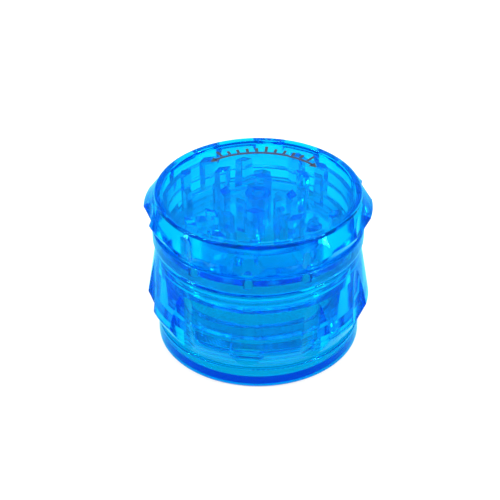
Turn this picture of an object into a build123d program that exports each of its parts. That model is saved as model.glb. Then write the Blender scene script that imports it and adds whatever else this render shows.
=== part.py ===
from build123d import *
import os

# Four-part hand grinder: a toothed lid turns on a toothed grinding chamber, which screws into a
# screen chamber, which screws onto a base tray. Millimetres, +Z up, origin at the centre of the
# base's underside.

# ---- driving dimensions ----
BODY_D = 63.0            # widest diameter, at the lid's gripping edge before it is eased
HEIGHT = 46.4            # closed
SHELL_R = BODY_D / 2
SEAT_GAP = 0.2           # vertical gap between two stacked shells
RUN_GAP = 0.3            # radial gap between two walls that pass each other

# levels where one shell ends and the next begins
TRAY_TOP_Z = 6.2
DRUM_TOP_Z = 30.7
LID_BOTTOM_Z = 36.7

# lid
LID_RIM_R = 28.5         # outside of the rim
LID_RIM_WIDTH = 2.4
LID_RIM_FILLET = 0.9
LID_RIM_INNER_FILLET = 0.3
LID_SHOULDER_Z = 45.4    # where the upper cone meets the rim
LID_EDGE_Z = 41.7        # the sharp gripping edge
LID_SKIRT_R = 28.8       # outside of the lid's lower edge
WINDOW_RECESS = 0.8      # window below the rim
WINDOW_T = 1.4
LID_BORE_R = 26.8        # inside of the skirt

# grinding chamber
CHAMBER_R = 29.4         # outside of the band between the lid and the drum
CHAMBER_WALL_R = 25.0    # inside of the toothed cup
CHAMBER_WALL_TOP_Z = 41.8
CHAMBER_FLOOR_TOP_Z = 34.6
CHAMBER_FLOOR_T = 2.4
CHAMBER_LOW_FILLET = 1.5
CHAMBER_TOP_FILLET = 0.5
SPIGOT_BORE_R = 24.2
SPIGOT_END_Z = 24.5

# screen chamber (the drum)
DRUM_TOP_R = 28.45
DRUM_EDGE_R = 31.4
DRUM_EDGE_Z = 13.1
DRUM_LOW_R = 28.3
DRUM_TOP_FILLET = 0.9
DRUM_BORE_R = 25.9
LEDGE_BORE_R = 23.0
LEDGE_UNDER_Z = 12.5
SCREEN_Z = 15.0          # top of the ledge, where the screen lies
SCREEN_T = 0.25
SCREEN_R = 25.6
SCREEN_RING_H = 3.8
SCREEN_RING_BORE_R = 24.0
SCREEN_RING_CHAMFER = 0.5
RING_SEAT_GAP = 0.05     # radial, between the ring and the drum that it is pressed into

# base tray
TRAY_R = 28.7
TRAY_FLOOR_T = 1.3
TRAY_FOOT_FILLET = 0.8
TRAY_TOP_FILLET = 0.4
TRAY_BORE_R = 24.2
TRAY_BORE_FILLET = 0.8
COLLAR_TOP_Z = 12.0

# threads: both crests are cut back, so that a straight pull clears them
THREAD_PITCH = 2.0
THREAD_H = 0.45
THREAD_CREST_GAP = 0.12
THREAD_ROOT_W = 1.1
THREAD_CREST_W = 0.4
THREAD_SINK = 0.15       # how far a ridge is sunk into its wall
THREAD_TURNS = 2.0
THREAD_START = 1.0       # lead-in below the ridge's first turn
UPPER_CREST_R = 26.45    # crest of the grinding chamber's thread
LOWER_CREST_R = 26.5     # crest of the base tray's thread

# scoops: ten upright finger grips, cut through the lid's skirt and the drum alike
SCOOP_COUNT = 10
SCOOP_R = 7.0
SCOOP_BOTTOM_R = 29.0    # distance from the axis to the deepest line of a scoop
SCOOP_START_DEG = -90.0
GRIP_FILLET = 0.3        # eases the widest edge and the borders of the scoops
EASED_FROM_R = 28.7      # edges further out than this are eased

# teeth: rhombic posts in rings, long diagonal along the ring
TOOTH_TAPER_DEG = 0.8
TOOTH_TIP_GAP = 0.6
LID_TOOTH_LONG = 5.8
LID_TOOTH_SHORT = 3.0
CUP_TOOTH_LONG = 5.4
CUP_TOOTH_SHORT = 2.7
LID_TOOTH_RINGS = (      # radius, count, first azimuth
    (9.1, 4, 0.0),
    (16.0, 4, 45.0),
    (23.0, 4, 45.0),
    (23.0, 4, 67.5),
)
CUP_TOOTH_RINGS = (
    (5.7, 3, -18.0),
    (12.5, 5, 19.0),
    (19.5, 5, 36.0),
)
DROP_HOLE_RINGS = (      # radius, count, first azimuth, hole radius
    (9.1, 5, 55.0, 1.6),
    (16.0, 10, 0.0, 1.8),
    (22.9, 10, 18.0, 1.7),
)

# centre boss of the lid and the pin it turns on
BOSS_R = 3.55
PIN_R = 1.62
PIN_RUN_GAP = 0.08
PIN_CHAMFER = 0.3
BOSS_ROOF_T = 0.4        # plastic left between the boss's blind bore and the window's underside

# small round marks left by the mould's pins on the window's underside
MARK_R = 0.75
MARK_DEPTH = 0.12
MARK_RINGS = ((5.5, 4, 0.0), (19.8, 4, 54.0))

# ---- derived levels ----
WINDOW_TOP_Z = HEIGHT - WINDOW_RECESS
WINDOW_UNDER_Z = WINDOW_TOP_Z - WINDOW_T
CHAMBER_BAND_BOTTOM_Z = DRUM_TOP_Z + SEAT_GAP
CHAMBER_BAND_TOP_Z = LID_BOTTOM_Z - SEAT_GAP
CHAMBER_FLOOR_UNDER_Z = CHAMBER_FLOOR_TOP_Z - CHAMBER_FLOOR_T
DRUM_BOTTOM_Z = TRAY_TOP_Z + SEAT_GAP
LID_TOOTH_TIP_Z = CHAMBER_FLOOR_TOP_Z + TOOTH_TIP_GAP
CUP_TOOTH_TIP_Z = WINDOW_UNDER_Z - TOOTH_TIP_GAP
BOSS_ROOF_Z = WINDOW_UNDER_Z - BOSS_ROOF_T
PIN_TIP_Z = BOSS_ROOF_Z - SEAT_GAP
OVERSHOOT = 1.0          # how far a cutter stands out of what it cuts


def turned(*outline):
    """A solid of revolution about Z, from an outline of (radius, height) points."""
    points = [(radius, 0, height) for radius, height in outline]
    return revolve(make_face(Polyline(*points, close=True)), Axis.Z)


def bar(radius, low_z, high_z):
    return Pos(0, 0, low_z) * Cylinder(
        radius, high_z - low_z, align=(Align.CENTER, Align.CENTER, Align.MIN))


def rim(solid, radius, height):
    """The circular edges of one radius at one height, for rounding."""
    return [
        edge for edge in solid.edges().filter_by(GeomType.CIRCLE)
        if abs(edge.radius - radius) < 0.01 and abs(edge.center(CenterOf.MASS).Z - height) < 0.01
    ]


def ring_places(rings):
    """Every (radius, azimuth, *extras) of rings given as (radius, count, first azimuth, *extras)."""
    for radius, count, first, *extras in rings:
        for k in range(count):
            yield radius, first + 360 * k / count, *extras


def scoops(low_z, high_z):
    """Upright cylinders that cut the ten finger scoops between two heights."""
    return [
        Rot(0, 0, SCOOP_START_DEG + 360 * k / SCOOP_COUNT)
        * Pos(SCOOP_BOTTOM_R + SCOOP_R, 0, 0) * bar(SCOOP_R, low_z, high_z)
        for k in range(SCOOP_COUNT)
    ]


def cut_scoops(shell, low_z, high_z):
    """The shell with its scoops cut and its outer edges eased."""
    shell -= scoops(low_z - OVERSHOOT, high_z + OVERSHOOT)
    sharp = [
        edge for edge in shell.edges()
        if edge.geom_type != GeomType.LINE
        and Vector(edge.position_at(0.5).X, edge.position_at(0.5).Y).length > EASED_FROM_R
    ]
    return fillet(sharp, GRIP_FILLET)


def tooth(radius, azimuth, long_diagonal, short_diagonal, root_z, tip_z):
    """A tapered rhombic post, standing on root_z or hanging from it."""
    rhombus = make_face(Polyline(
        (radius - short_diagonal / 2, 0), (radius, -long_diagonal / 2),
        (radius + short_diagonal / 2, 0), (radius, long_diagonal / 2), close=True))
    post = extrude(rhombus, amount=abs(tip_z - root_z), taper=TOOTH_TAPER_DEG)
    if tip_z < root_z:
        post = mirror(post, about=Plane.XY)
    return Rot(0, 0, azimuth) * Pos(0, 0, root_z) * post


def thread(crest_r, outward, low_z):
    """One helical ridge. outward is 1 on a spigot and -1 in a bore."""
    root_r = crest_r - outward * THREAD_H
    path = Helix(pitch=THREAD_PITCH, height=THREAD_PITCH * THREAD_TURNS, radius=root_r)
    section_plane = Plane(origin=path @ 0, x_dir=(1, 0, 0), z_dir=path % 0)
    section = section_plane * make_face(Polyline(
        (-outward * THREAD_SINK, -THREAD_ROOT_W / 2), (outward * THREAD_H, -THREAD_CREST_W / 2),
        (outward * THREAD_H, THREAD_CREST_W / 2), (-outward * THREAD_SINK, THREAD_ROOT_W / 2),
        close=True))
    return Pos(0, 0, low_z) * sweep(section, path=path, is_frenet=True)


def lid():
    rim_bore_r = LID_RIM_R - LID_RIM_WIDTH
    shell = turned(
        (0, WINDOW_UNDER_Z), (LID_BORE_R, WINDOW_UNDER_Z), (LID_BORE_R, LID_BOTTOM_Z),
        (LID_SKIRT_R, LID_BOTTOM_Z), (SHELL_R, LID_EDGE_Z), (LID_RIM_R, LID_SHOULDER_Z),
        (LID_RIM_R, HEIGHT), (rim_bore_r, HEIGHT), (rim_bore_r, WINDOW_TOP_Z), (0, WINDOW_TOP_Z))
    shell = fillet(rim(shell, LID_RIM_R, HEIGHT), LID_RIM_FILLET)
    shell = fillet(rim(shell, rim_bore_r, HEIGHT), LID_RIM_INNER_FILLET)
    shell = cut_scoops(shell, LID_BOTTOM_Z, HEIGHT)
    shell += [
        tooth(radius, azimuth, LID_TOOTH_LONG, LID_TOOTH_SHORT, WINDOW_UNDER_Z, LID_TOOTH_TIP_Z)
        for radius, azimuth in ring_places(LID_TOOTH_RINGS)
    ]
    shell += bar(BOSS_R, LID_TOOTH_TIP_Z, WINDOW_UNDER_Z)
    shell -= bar(PIN_R + PIN_RUN_GAP, LID_TOOTH_TIP_Z - OVERSHOOT, BOSS_ROOF_Z)
    shell -= [
        Rot(0, 0, azimuth) * Pos(radius, 0, 0)
        * bar(MARK_R, WINDOW_UNDER_Z - OVERSHOOT, WINDOW_UNDER_Z + MARK_DEPTH)
        for radius, azimuth in ring_places(MARK_RINGS)
    ]
    return shell


def grinding_chamber():
    core_r = UPPER_CREST_R - THREAD_H
    wall_r = LID_BORE_R - RUN_GAP
    cup = turned(
        (0, CHAMBER_FLOOR_UNDER_Z), (SPIGOT_BORE_R, CHAMBER_FLOOR_UNDER_Z),
        (SPIGOT_BORE_R, SPIGOT_END_Z), (core_r, SPIGOT_END_Z), (core_r, CHAMBER_BAND_BOTTOM_Z),
        (CHAMBER_R, CHAMBER_BAND_BOTTOM_Z), (CHAMBER_R, CHAMBER_BAND_TOP_Z),
        (wall_r, CHAMBER_BAND_TOP_Z), (wall_r, CHAMBER_WALL_TOP_Z),
        (CHAMBER_WALL_R, CHAMBER_WALL_TOP_Z), (CHAMBER_WALL_R, CHAMBER_FLOOR_TOP_Z),
        (0, CHAMBER_FLOOR_TOP_Z))
    cup = fillet(rim(cup, CHAMBER_R, CHAMBER_BAND_BOTTOM_Z), CHAMBER_LOW_FILLET)
    cup = fillet(rim(cup, CHAMBER_R, CHAMBER_BAND_TOP_Z), CHAMBER_TOP_FILLET)
    cup -= [
        Rot(0, 0, azimuth) * Pos(radius, 0, 0)
        * bar(hole_r, CHAMBER_FLOOR_UNDER_Z - OVERSHOOT, CHAMBER_FLOOR_TOP_Z + OVERSHOOT)
        for radius, azimuth, hole_r in ring_places(DROP_HOLE_RINGS)
    ]
    cup += [
        tooth(radius, azimuth, CUP_TOOTH_LONG, CUP_TOOTH_SHORT, CHAMBER_FLOOR_TOP_Z, CUP_TOOTH_TIP_Z)
        for radius, azimuth in ring_places(CUP_TOOTH_RINGS)
    ]
    pin = bar(PIN_R, CHAMBER_FLOOR_TOP_Z, PIN_TIP_Z)
    cup += chamfer(rim(pin, PIN_R, PIN_TIP_Z), PIN_CHAMFER)
    cup += thread(UPPER_CREST_R, 1, SPIGOT_END_Z + THREAD_START)
    return cup


def screen_chamber():
    upper_crest_r = UPPER_CREST_R + THREAD_CREST_GAP
    lower_crest_r = LOWER_CREST_R + THREAD_CREST_GAP
    upper_root_r = upper_crest_r + THREAD_H
    lower_root_r = lower_crest_r + THREAD_H
    upper_step_z = SPIGOT_END_Z - SEAT_GAP
    drum = turned(
        (lower_root_r, DRUM_BOTTOM_Z), (DRUM_LOW_R, DRUM_BOTTOM_Z), (DRUM_EDGE_R, DRUM_EDGE_Z),
        (DRUM_TOP_R, DRUM_TOP_Z), (upper_root_r, DRUM_TOP_Z), (upper_root_r, upper_step_z),
        (DRUM_BORE_R, upper_step_z), (DRUM_BORE_R, SCREEN_Z), (LEDGE_BORE_R, SCREEN_Z),
        (LEDGE_BORE_R, LEDGE_UNDER_Z), (lower_root_r, LEDGE_UNDER_Z))
    drum = fillet(rim(drum, DRUM_TOP_R, DRUM_TOP_Z), DRUM_TOP_FILLET)
    drum = cut_scoops(drum, DRUM_BOTTOM_Z, DRUM_TOP_Z)
    drum += thread(upper_crest_r, -1, upper_step_z + THREAD_START)
    drum += thread(lower_crest_r, -1, DRUM_BOTTOM_Z + THREAD_START)
    return drum


def screen():
    return bar(SCREEN_R, SCREEN_Z, SCREEN_Z + SCREEN_T)


def screen_ring():
    low_z = SCREEN_Z + SCREEN_T
    high_z = low_z + SCREEN_RING_H
    ring = bar(DRUM_BORE_R - RING_SEAT_GAP, low_z, high_z)
    ring -= bar(SCREEN_RING_BORE_R, low_z - OVERSHOOT, high_z + OVERSHOOT)
    return chamfer(rim(ring, SCREEN_RING_BORE_R, high_z), SCREEN_RING_CHAMFER)


def base_tray():
    core_r = LOWER_CREST_R - THREAD_H
    tray = turned(
        (0, 0), (TRAY_R, 0), (TRAY_R, TRAY_TOP_Z), (core_r, TRAY_TOP_Z), (core_r, COLLAR_TOP_Z),
        (TRAY_BORE_R, COLLAR_TOP_Z), (TRAY_BORE_R, TRAY_FLOOR_T), (0, TRAY_FLOOR_T))
    tray = fillet(rim(tray, TRAY_R, 0), TRAY_FOOT_FILLET)
    tray = fillet(rim(tray, TRAY_R, TRAY_TOP_Z), TRAY_TOP_FILLET)
    tray = fillet(rim(tray, TRAY_BORE_R, TRAY_FLOOR_T), TRAY_BORE_FILLET)
    tray += thread(LOWER_CREST_R, 1, TRAY_TOP_Z + THREAD_START)
    return tray


os.makedirs("parts", exist_ok=True)
for make in (lid, grinding_chamber, screen_chamber, screen, screen_ring, base_tray):
    export_step(make(), f"parts/{make.__name__}.step")
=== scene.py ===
import math

import bmesh
import bpy
from mathutils import Matrix, Vector


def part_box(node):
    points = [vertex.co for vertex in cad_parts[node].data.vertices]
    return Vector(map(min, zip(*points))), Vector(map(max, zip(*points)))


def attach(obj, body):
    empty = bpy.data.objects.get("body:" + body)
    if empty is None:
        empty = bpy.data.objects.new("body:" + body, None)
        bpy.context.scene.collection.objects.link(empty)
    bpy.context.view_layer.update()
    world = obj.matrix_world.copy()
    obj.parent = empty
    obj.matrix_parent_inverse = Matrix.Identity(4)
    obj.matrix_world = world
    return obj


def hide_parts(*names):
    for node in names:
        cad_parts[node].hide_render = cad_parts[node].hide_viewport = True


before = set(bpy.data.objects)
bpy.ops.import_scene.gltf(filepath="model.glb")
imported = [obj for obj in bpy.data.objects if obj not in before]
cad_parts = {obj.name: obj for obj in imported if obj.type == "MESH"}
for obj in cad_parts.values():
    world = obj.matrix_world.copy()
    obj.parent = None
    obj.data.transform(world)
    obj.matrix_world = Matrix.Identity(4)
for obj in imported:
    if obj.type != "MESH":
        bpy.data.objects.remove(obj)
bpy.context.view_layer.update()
MM = 0.001

# ---- camera ----
CAMERA_AZIMUTH = math.radians(6.0)
CAMERA_ELEVATION = math.radians(34.56)
CAMERA_ROLL = math.radians(-0.12)
CAMERA_DISTANCE = 393.6 * MM
CAMERA_AIM_Z = 22.6 * MM
CAMERA_LENS = 100.4
CAMERA_SHIFT = (-0.0166, 0.0204)

# ---- plastic ----
PLASTIC_IOR = 1.45
LIGHT_TAKEN_PER_M = (900.0, 76.0, 5.0)     # red, green and blue absorption coefficients
SURFACE_TINT = (0.0, 0.958, 0.992, 1.0)    # what one surface lets through and mirrors
POLISH_FACING = 0.045                      # share of an outer surface that shines white, head on
POLISH_GRAZING = 0.3                       # and how much more towards its outline
POLISH_FALLOFF = 4
POLISH_ROUGHER = 0.04                      # how much duller than the clear surface the polish is
SCRATCH_ROUGHNESS = 0.04
RIPPLE_HEIGHT = 0.03 * MM
RIPPLE_STRENGTH = 0.35
PLASTIC_FINISHES = (                       # node, roughness all over, more roughness in a smudge
    ("lid", 0.012, 0.035),
    ("grinding_chamber", 0.11, 0.05),
    ("screen_chamber", 0.03, 0.03),
    ("screen_ring", 0.09, 0.03),
    ("base_tray", 0.02, 0.035),
)

# ---- studio ----
FLOOR_GAP = 0.1 * MM                       # keeps the floor clear of the tray's underside
FLOOR_RADIUS = 3.0
FLOOR_GLOW = 0.62
WORLD_STRENGTH = 1.05
LIGHTS = (                                 # name, azimuth, elevation, distance, size, watts
    ("overhead", 150, 78, 0.8, (1.1, 0.9), 7.0),
    ("left_strip", -75, 40, 0.9, (0.06, 0.6), 5.0),
    ("right_strip", 80, 30, 0.9, (0.06, 0.6), 5.0),
)
LONGEST_PATH = 96                          # bounces in all
CLEAR_BOUNCES = 64                         # bounces by going through, and as many by mirroring
STRAIGHT_THROUGH_BOUNCES = 32

# ---- woven screen ----
WEAVE_PITCH = 0.55 * MM
WIRE_FLATNESS = 2.2                        # how much wider than thick the rolled wire is
WEAVE_TURN = math.radians(32.0)
WIRE_SIDES = 4
WIRE_FILL = 0.96                           # share of the screen's thickness that the wires take
FEWEST_CROSSINGS = 2                       # shorter wires than this are left out

# ---- mark on the window ----
MARK_MID_AZIMUTH = 90.0
MARK_HALF_SWEEP = 47.0
MARK_R = 20.6 * MM
MARK_LINE_W = 0.85 * MM
MARK_PROUD = 0.03 * MM
MARK_SUNK = 0.02 * MM
ARROW_SWEEP = 6.0
ARROW_HALF_W = 1.3 * MM
ARROW_OVERLAP = 1.0                        # how far the arc runs on into an arrowhead, in degrees
TICK_STEP = 7.0
TICKS_EACH_SIDE = 5
TICK_LIFT = 0.6 * MM                       # from the arc's middle to where a tick starts
TICK_LENGTH = 1.9 * MM
LONG_TICK_LENGTH = 3.0 * MM                # at the middle and at both ends
ABOVE_LID = 10 * MM                        # where the search for the window's surface starts
CLEAR_OF_BOSS = 12 * MM                    # and how far it is from the axis


# ---------------------------------------------------------------- shader building

class Value:
    """A shader socket that Python's operators work on: each operator adds one Math node."""

    def __init__(self, graph, socket):
        self.graph = graph
        self.socket = socket

    def math(self, operation, *values):
        return self.graph.node("ShaderNodeMath", {"operation": operation}, dict(enumerate(values)))

    def __add__(self, other):
        return self.math("ADD", self, other)

    def __mul__(self, other):
        return self.math("MULTIPLY", self, other)

    def __pow__(self, other):
        return self.math("POWER", self, other)

    def __rsub__(self, other):
        return self.math("SUBTRACT", other, self)

    __radd__ = __add__

    def between(self, low, high):
        """0 at low, 1 at high, held there outside them."""
        return self.graph.node("ShaderNodeMapRange", {"clamp": True}, {0: self, 1: low, 2: high})


class Graph:
    """The node tree of one material."""

    def __init__(self, name):
        self.material = bpy.data.materials.new(name)
        self.material.use_nodes = True
        self.tree = self.material.node_tree
        self.tree.nodes.clear()
        self.output = self.tree.nodes.new("ShaderNodeOutputMaterial")

    def node(self, kind, settings=None, inputs=None, output=0):
        """Adds a node, applies its settings, fills or links its sockets and gives one output."""
        made = self.tree.nodes.new(kind)
        for name, value in (settings or {}).items():
            setattr(made, name, value)
        for key, value in (inputs or {}).items():
            if isinstance(value, Value):
                self.tree.links.new(value.socket, made.inputs[key])
            else:
                made.inputs[key].default_value = value
        return Value(self, made.outputs[output])

    def place(self):
        return self.node("ShaderNodeTexCoord", output="Object")

    def noise(self, scale, detail=2.0, stretch=(1.0, 1.0, 1.0)):
        """Noise from 0 to 1. scale is in features per metre."""
        place = self.node("ShaderNodeMapping", inputs={"Vector": self.place(), "Scale": stretch})
        return self.node("ShaderNodeTexNoise", inputs={"Vector": place, "Scale": scale, "Detail": detail})

    def blend(self, factor, first, second):
        """A colour from first to second by factor."""
        return self.node(
            "ShaderNodeMix", {"data_type": "RGBA"},
            {"Factor": factor, 6: (*first, 1.0), 7: (*second, 1.0)}, output=2)

    def bump(self, height, distance, strength=1.0):
        return self.node(
            "ShaderNodeBump", inputs={"Height": height, "Distance": distance, "Strength": strength})

    def principled(self, **inputs):
        """A Principled shader. Underscores in a name stand for spaces."""
        named = {name.replace("_", " "): value for name, value in inputs.items()}
        return self.node("ShaderNodeBsdfPrincipled", inputs=named)

    def surface(self, shader):
        self.tree.links.new(shader.socket, self.output.inputs["Surface"])

    def volume(self, shader):
        self.tree.links.new(shader.socket, self.output.inputs["Volume"])


def clear_plastic(name, haze, smudge):
    """Transparent plastic tinted right through: moulding ripple, faint smudges and fine scratches."""
    graph = Graph(name)
    smudges = graph.noise(140.0, 3.0).between(0.5, 0.75)
    scratches = graph.noise(900.0, 2.0, (1.0, 1.0, 0.12)).between(0.64, 0.7)
    ripple = graph.bump(graph.noise(220.0, 1.0), RIPPLE_HEIGHT, RIPPLE_STRENGTH)
    roughness = haze + smudges * smudge + scratches * SCRATCH_ROUGHNESS
    clear = graph.node(
        "ShaderNodeBsdfGlass",
        inputs={"Color": SURFACE_TINT, "Roughness": roughness, "IOR": PLASTIC_IOR, "Normal": ripple})
    polish = graph.principled(
        Base_Color=graph.blend(smudges, (0.0, 0.22, 0.85), (0.0, 0.3, 0.9)),
        Roughness=roughness + POLISH_ROUGHER,
        Normal=ripple,
        IOR=PLASTIC_IOR)
    outline = graph.node("ShaderNodeLayerWeight", inputs={"Blend": 0.5, "Normal": ripple}, output="Facing")
    outside = 1 - graph.node("ShaderNodeNewGeometry", output="Backfacing")
    share = (POLISH_FACING + outline ** POLISH_FALLOFF * POLISH_GRAZING) * outside
    graph.surface(graph.node("ShaderNodeMixShader", inputs={0: share, 1: clear, 2: polish}))
    densest = max(LIGHT_TAKEN_PER_M)
    kept = [1 - taken / densest for taken in LIGHT_TAKEN_PER_M]
    graph.volume(graph.node(
        "ShaderNodeVolumeAbsorption", inputs={"Color": (*kept, 1.0), "Density": densest}))
    return graph.material


def wire_steel():
    """Drawn stainless wire, a little darker in random patches of dust."""
    graph = Graph("wire_steel")
    dust = graph.noise(1500.0, 2.0).between(0.35, 0.7)
    graph.surface(graph.principled(
        Base_Color=graph.blend(dust, (0.72, 0.73, 0.75), (0.46, 0.48, 0.5)),
        Metallic=1.0,
        Roughness=0.28 + dust * 0.2,
        Normal=graph.bump(graph.noise(9000.0, 1.0), 0.000004, 0.5)))
    return graph.material


def frosted_mark():
    """The grey, matt bottom of a shallow engraving."""
    graph = Graph("frosted_mark")
    grain = graph.noise(4000.0, 2.0)
    graph.surface(graph.principled(
        Base_Color=graph.blend(grain, (0.02, 0.03, 0.05), (0.05, 0.065, 0.09)),
        Roughness=0.6 + grain * 0.25,
        Specular_IOR_Level=0.02,
        Normal=graph.bump(grain, 0.00002, 0.6)))
    return graph.material


def pale_floor():
    """A matt white sweep that gives off a little light, so that shadows on it stay faint."""
    graph = Graph("pale_floor")
    cloud = graph.noise(3.0, 2.0)
    graph.surface(graph.principled(
        Base_Color=graph.blend(cloud, (0.32, 0.32, 0.32), (0.35, 0.35, 0.35)),
        Roughness=0.7 + cloud * 0.1,
        Emission_Color=(1.0, 1.0, 1.0, 1.0),
        Emission_Strength=FLOOR_GLOW))
    return graph.material


# ---------------------------------------------------------------- mesh building

def mesh_object(name, mesh, material):
    piece = bpy.data.objects.new(name, mesh)
    bpy.context.scene.collection.objects.link(piece)
    mesh.materials.append(material)
    return piece


def on_circle(radius, azimuth_deg):
    azimuth = math.radians(azimuth_deg)
    return Vector((radius * math.cos(azimuth), radius * math.sin(azimuth), 0))


def wire_tube(made, points, side_way, radius):
    """A closed, flattened tube along points. side_way is a level direction across the wire."""
    rings = []
    for point in points:
        ring = []
        for k in range(WIRE_SIDES):
            turn = 2 * math.pi * (k + 0.5) / WIRE_SIDES
            offset = side_way * math.cos(turn) * WIRE_FLATNESS + Vector((0, 0, 1)) * math.sin(turn)
            ring.append(made.verts.new(point + offset * radius * math.sqrt(2)))
        rings.append(ring)
    for first, second in zip(rings, rings[1:]):
        for k in range(WIRE_SIDES):
            j = (k + 1) % WIRE_SIDES
            made.faces.new((first[k], first[j], second[j], second[k]))
    made.faces.new(rings[0][::-1])
    made.faces.new(rings[-1])


def woven_screen(low, high):
    """Two layers of wires at right angles, each passing over and under the others in turn."""
    made = bmesh.new()
    middle_z = (low.z + high.z) / 2
    rise = (high.z - low.z) / 4
    wire_r = rise * WIRE_FILL / math.sqrt(2)
    reach = (high.x - low.x) / 2 - 2 * wire_r
    last = int(reach / WEAVE_PITCH)
    for layer in (0, 1):
        along = Vector((math.cos(WEAVE_TURN), math.sin(WEAVE_TURN), 0))
        across = Vector((-along.y, along.x, 0))
        if layer:
            along, across = across, -along
        for i in range(-last, last + 1):
            side = i * WEAVE_PITCH
            half = math.sqrt(max(reach ** 2 - side ** 2, 0))
            crossings = int(half / WEAVE_PITCH)
            if crossings < FEWEST_CROSSINGS:
                continue
            points = [
                across * side + along * (j * WEAVE_PITCH)
                + Vector((0, 0, middle_z + (rise if (i + j + layer) % 2 else -rise)))
                for j in range(-crossings, crossings + 1)
            ]
            wire_tube(made, points, across, wire_r)
    mesh = bpy.data.meshes.new("screen_weave")
    made.to_mesh(mesh)
    made.free()
    return mesh


def plate(made, outline, low_z, high_z):
    """A flat plate from an outline of level points, going round anticlockwise."""
    lower = [made.verts.new((p.x, p.y, low_z)) for p in outline]
    upper = [made.verts.new((p.x, p.y, high_z)) for p in outline]
    made.faces.new(upper)
    made.faces.new(lower[::-1])
    count = len(outline)
    for k in range(count):
        j = (k + 1) % count
        made.faces.new((lower[k], lower[j], upper[j], upper[k]))


def arc_band(made, radius, width, start_deg, end_deg, low_z, high_z):
    """A curved strip of even width, in steps of about two degrees."""
    steps = max(2, int(abs(end_deg - start_deg) / 2))
    sweep = [start_deg + (end_deg - start_deg) * k / steps for k in range(steps + 1)]
    outer = [on_circle(radius + width / 2, a) for a in sweep]
    inner = [on_circle(radius - width / 2, a) for a in reversed(sweep)]
    plate(made, outer + inner, low_z, high_z)


def turn_mark(window_z):
    """A plain turn-either-way sign: a graduated arc with an arrowhead at each end."""
    made = bmesh.new()
    low_z, high_z = window_z - MARK_SUNK, window_z + MARK_PROUD
    start, end = MARK_MID_AZIMUTH - MARK_HALF_SWEEP, MARK_MID_AZIMUTH + MARK_HALF_SWEEP
    inset = ARROW_SWEEP - ARROW_OVERLAP
    arc_band(made, MARK_R, MARK_LINE_W, start + inset, end - inset, low_z, high_z)
    for tip, way in ((start, 1), (end, -1)):
        head = [
            on_circle(MARK_R, tip),
            on_circle(MARK_R + ARROW_HALF_W, tip + ARROW_SWEEP * way),
            on_circle(MARK_R - ARROW_HALF_W, tip + ARROW_SWEEP * way),
        ]
        plate(made, head if way > 0 else head[::-1], low_z, high_z)
    tick_r = MARK_R + TICK_LIFT
    for k in range(-TICKS_EACH_SIDE, TICKS_EACH_SIDE + 1):
        azimuth = MARK_MID_AZIMUTH + TICK_STEP * k
        length = LONG_TICK_LENGTH if k % TICKS_EACH_SIDE == 0 else TICK_LENGTH
        across = on_circle(MARK_LINE_W / 2, azimuth + 90)
        inner = on_circle(tick_r, azimuth)
        outer = on_circle(tick_r + length, azimuth)
        plate(made, [inner - across, outer - across, outer + across, inner + across], low_z, high_z)
    mesh = bpy.data.meshes.new("turn_mark")
    made.to_mesh(mesh)
    made.free()
    return mesh


# ---------------------------------------------------------------- the grinder

def finish_plastic_parts():
    """The same plastic for each moulding, with a polished mould outside and a duller one inside."""
    for node, haze, smudge in PLASTIC_FINISHES:
        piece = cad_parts[node]
        material = clear_plastic(f"clear_blue_{node}", haze, smudge)
        for slot in piece.material_slots:
            slot.material = material


def add_screen():
    low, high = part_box("screen")
    piece = mesh_object("screen_weave", woven_screen(low, high), wire_steel())
    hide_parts("screen")
    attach(piece, "screen_chamber")


def add_mark():
    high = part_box("lid")[1]
    over_window = Vector((0, CLEAR_OF_BOSS, high.z + ABOVE_LID))
    hit, place, _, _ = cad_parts["lid"].ray_cast(over_window, Vector((0, 0, -1)))
    if not hit:
        raise ValueError("the lid has no window above its teeth")
    piece = mesh_object("turn_mark", turn_mark(place.z), frosted_mark())
    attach(piece, "lid")


# ---------------------------------------------------------------- the studio

def add_floor():
    made = bmesh.new()
    bmesh.ops.create_circle(made, cap_ends=True, segments=96, radius=FLOOR_RADIUS)
    mesh = bpy.data.meshes.new("floor")
    made.to_mesh(mesh)
    made.free()
    floor = mesh_object("floor", mesh, pale_floor())
    floor.location.z = -FLOOR_GAP


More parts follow.
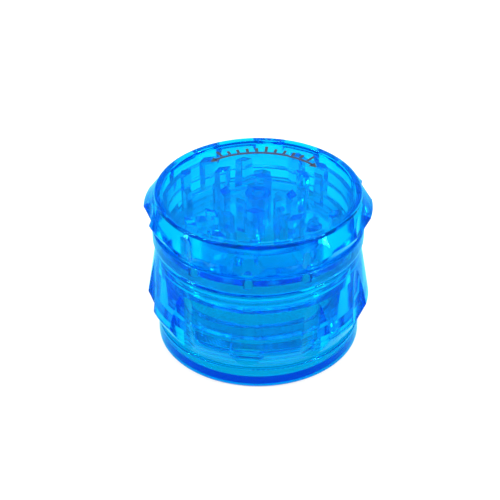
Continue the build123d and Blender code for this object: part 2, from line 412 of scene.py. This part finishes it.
def add_light(name, azimuth_deg, elevation_deg, distance, size, watts):
    """A rectangular soft box aimed at the middle of the grinder."""
    data = bpy.data.lights.new(name, "AREA")
    data.shape = "RECTANGLE"
    data.size, data.size_y = size
    data.energy = watts
    light = bpy.data.objects.new(name, data)
    bpy.context.scene.collection.objects.link(light)
    a, e = math.radians(azimuth_deg), math.radians(elevation_deg)
    away = Vector((math.sin(a) * math.cos(e), -math.cos(a) * math.cos(e), math.sin(e)))
    aim = Vector((0, 0, CAMERA_AIM_Z))
    light.location = aim + away * distance
    light.rotation_euler = (-away).to_track_quat("-Z", "Y").to_euler()


def add_world():
    world = bpy.data.worlds.new("studio")
    bpy.context.scene.world = world
    world.use_nodes = True
    background = world.node_tree.nodes["Background"]
    background.inputs["Color"].default_value = (1.0, 1.0, 1.0, 1.0)
    background.inputs["Strength"].default_value = WORLD_STRENGTH


def let_light_through():
    """Gives light enough bounces to cross every wall, tooth and thread, which otherwise turn black."""
    cycles = bpy.context.scene.cycles
    cycles.max_bounces = LONGEST_PATH
    cycles.transmission_bounces = CLEAR_BOUNCES
    cycles.glossy_bounces = CLEAR_BOUNCES
    cycles.transparent_max_bounces = STRAIGHT_THROUGH_BOUNCES


def add_camera():
    data = bpy.data.cameras.new("camera")
    data.lens = CAMERA_LENS
    data.sensor_width = 36.0
    data.shift_x, data.shift_y = CAMERA_SHIFT
    data.clip_start, data.clip_end = 0.01, 20.0
    camera = bpy.data.objects.new("camera", data)
    bpy.context.scene.collection.objects.link(camera)
    away = Vector((
        math.sin(CAMERA_AZIMUTH) * math.cos(CAMERA_ELEVATION),
        -math.cos(CAMERA_AZIMUTH) * math.cos(CAMERA_ELEVATION),
        math.sin(CAMERA_ELEVATION)))
    turn = (-away).to_track_quat("-Z", "Y").to_matrix() @ Matrix.Rotation(CAMERA_ROLL, 3, "Z")
    camera.matrix_world = Matrix.Translation(
        Vector((0, 0, CAMERA_AIM_Z)) + away * CAMERA_DISTANCE) @ turn.to_4x4()
    bpy.context.scene.camera = camera


add_camera()
finish_plastic_parts()
add_screen()
add_mark()
add_floor()
add_world()
for light in LIGHTS:
    add_light(*light)
let_light_through()
bpy.context.scene.view_settings.view_transform = "Standard"
